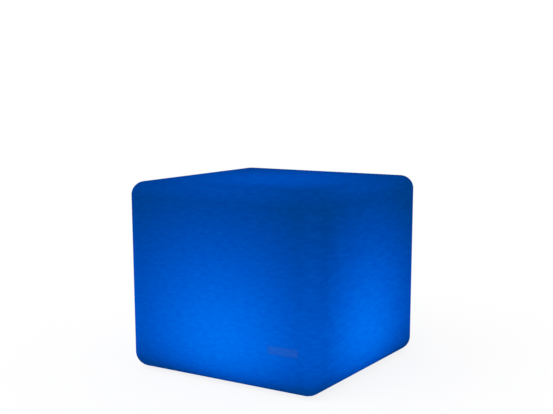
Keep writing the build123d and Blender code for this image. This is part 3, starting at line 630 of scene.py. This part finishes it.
def ribbed_feet():
    """A profile turned about each foot's axis: wall of the hole that sinks the screw's
    head, sole with ring grooves, edge, wall, top, and the hole for the screw."""
    head, edge = SCREW_HEAD_RADIUS, FOOT_EDGE
    profile = [(head, SCREW_HEAD_DEPTH), (head, SCREW_HEAD_CHAMFER), (head + SCREW_HEAD_CHAMFER, 0)]
    for groove in GROOVE_RADII:
        profile += [(groove - HALF_GROOVE_MOUTH, 0), (groove - HALF_GROOVE_FLOOR, GROOVE_DEPTH),
                    (groove + HALF_GROOVE_FLOOR, GROOVE_DEPTH), (groove + HALF_GROOVE_MOUTH, 0)]
    profile += [(FOOT_RADIUS - edge, 0), (FOOT_RADIUS - 0.3 * edge, 0.3 * edge), (FOOT_RADIUS, edge),
                (FOOT_RADIUS, FOOT_HEIGHT), (SCREW_RADIUS, FOOT_HEIGHT), (SCREW_RADIUS, SCREW_HEAD_DEPTH),
                profile[0]]
    turn = np.arange(FOOT_STEPS) * 2 * math.pi / FOOT_STEPS
    radius, height = (np.array(part)[:, None] for part in zip(*profile))
    height = np.broadcast_to(height, (len(profile), FOOT_STEPS))
    foot = np.stack([radius * np.cos(turn), radius * np.sin(turn), height], -1)
    faces = grid_faces(len(profile), FOOT_STEPS)[..., ::-1]
    points = [foot + [x * FOOT_PLACE, y * FOOT_PLACE, 0] for x, y in CORNERS]
    all_faces = [faces + k * len(profile) * FOOT_STEPS for k in range(len(CORNERS))]
    make_piece("ribbed_feet", np.concatenate(points), np.concatenate(all_faces),
               "black_rubber", "cube", "rubber_feet")


blank_plate()
ribbed_feet()


# ------------------------------------------------------------------ button spring

def wound_spring():
    """A round wire carried along a helix whose first and last half turns lie flat."""
    along = np.linspace(0, SPRING_TURNS, TURN_STEPS * SPRING_TURNS + 1)
    turn = 2 * math.pi * along
    height = SPRING_LOW + SPRING_RISE * np.clip((along - 0.5) / (SPRING_TURNS - 1), 0, 1)
    outward = np.stack([np.cos(turn), np.sin(turn), np.zeros_like(turn)], -1)
    centre = np.stack([np.full_like(turn, BUTTON_X), np.full_like(turn, BUTTON_Y), height], -1)
    middle = centre + SPRING_RADIUS * outward
    wire = np.full(len(along), SPRING_WIRE_RADIUS)
    # each end is doubled, and shrunk to its middle to close the wire
    wire, middle, outward = (
        np.concatenate([part[:1], part, part[-1:]]) for part in (wire, middle, outward))
    wire[[0, -1]] = 0
    around = 2 * math.pi * np.arange(WIRE_SIDES)[:, None] / WIRE_SIDES
    ring = np.cos(around) * outward[:, None, :] + np.sin(around) * np.array([0, 0, 1.0])
    points = middle[:, None, :] + wire[:, None, None] * ring
    spring = make_piece("wound_spring", points, grid_faces(len(wire), WIRE_SIDES),
                        "spring_steel", "cube", "button_spring")
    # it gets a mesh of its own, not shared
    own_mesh(spring)


wound_spring()


# ------------------------------------------------------------------ CAD nodes that stay

made_here = {"cube_shell", "blank_plate", "rubber_feet", "button_spring"}
for part in frame["record"]["subparts"]:
    if part["node"] not in made_here:
        for holder in frame["nodes"][part["node"]].material_slots:
            holder.material = finishes[part["material_slot"]]


# ------------------------------------------------------------------ floor and light

# in metres from the middle
FLOOR_REACH = 30.0
# how much of the floor's white is its own, the rest being lit and shaded
FLOOR_OWN_WHITE = 0.85
# brightness of the room's light beside the white that the eye sees behind the object
ROOM_LEVEL = 0.75


def looked_at(tree):
    """1 where a ray comes from the camera, by way of glass or gloss or straight, and 0
    where it carries light."""
    path = add(tree, "ShaderNodeLightPath")
    seen = path.outputs["Is Camera Ray"]
    for ray in ("Is Glossy Ray", "Is Transmission Ray"):
        seen = add(tree, "ShaderNodeMath", {"operation": "MAXIMUM"}, n0=seen, n1=path.outputs[ray])
    return seen


floor_mesh = bpy.data.meshes.new("floor")
floor_mesh.from_pydata([(x * FLOOR_REACH, y * FLOOR_REACH, 0) for x, y in CORNERS], [], [(0, 1, 2, 3)])
floor = bpy.data.objects.new("floor", floor_mesh)
bpy.context.scene.collection.objects.link(floor)

# white paper floor: white to the eye with a faint shadow, and seen through from below
paper, tree, shader = blank_material(
    "white_floor", Base_Color=lin("FFFFFF"), Roughness=1.0, Specular_IOR_Level=0.0)
own_white = add(tree, "ShaderNodeMath", {"operation": "MULTIPLY"}, n0=looked_at(tree), n1=FLOOR_OWN_WHITE)
white = add(tree, "ShaderNodeEmission", None, Color=lin("FFFFFF"), Strength=1.0)
top_side = add(tree, "ShaderNodeMixShader", None, n0=own_white, n1=shader, n2=white)
side = add(tree, "ShaderNodeNewGeometry")
clear = add(tree, "ShaderNodeBsdfTransparent")
sheet = add(tree, "ShaderNodeMixShader", None, n0=side.outputs["Backfacing"], n1=top_side, n2=clear)
tree.links.new(sheet.outputs[0], tree.nodes["Material Output"].inputs["Surface"])
floor_mesh.materials.append(paper)

world = bpy.data.worlds.new("studio")
bpy.context.scene.world = world
world.use_nodes = True
tree = world.node_tree
level = add(tree, "ShaderNodeMapRange", None, Value=looked_at(tree), n3=ROOM_LEVEL, n4=1.0)
background = tree.nodes["Background"]
background.inputs["Color"].default_value = lin("FFFFFF")
tree.links.new(level.outputs[0], background.inputs["Strength"])

# one wide soft lamp high on the left
lamp_data = bpy.data.lights.new("soft_lamp", "SUN")
lamp_data.energy = 1.1
lamp_data.angle = math.radians(60)
soft_lamp = bpy.data.objects.new("soft_lamp", lamp_data)
bpy.context.scene.collection.objects.link(soft_lamp)
soft_lamp.rotation_euler = (math.radians(40), 0, math.radians(-20))


# ------------------------------------------------------------------ camera, fitted to the photograph

CAMERA_AZIMUTH = math.radians(32.40)
CAMERA_ELEVATION = math.radians(9.98)
CAMERA_AIM = Vector((0, 0, 0.203))
CAMERA_DISTANCE = 1.8085
CAMERA_ROLL = -0.0025

camera_data = bpy.data.cameras.new("camera")
camera_data.lens = 61.85
camera_data.sensor_width = 36.0
camera_data.shift_x = -0.0002
camera_data.shift_y = 0.0871
camera_data.dof.use_dof = False
camera = bpy.data.objects.new("camera", camera_data)
bpy.context.scene.collection.objects.link(camera)
bpy.context.scene.camera = camera
flat_reach = math.cos(CAMERA_ELEVATION)
back = Vector((math.sin(CAMERA_AZIMUTH) * flat_reach, -math.cos(CAMERA_AZIMUTH) * flat_reach,
               math.sin(CAMERA_ELEVATION)))
turn = back.to_track_quat("Z", "Y").to_matrix() @ Matrix.Rotation(CAMERA_ROLL, 3, "Z")
camera.matrix_world = Matrix.Translation(CAMERA_AIM + CAMERA_DISTANCE * back) @ turn.to_4x4()
bpy.context.scene.view_settings.view_transform = "Standard"
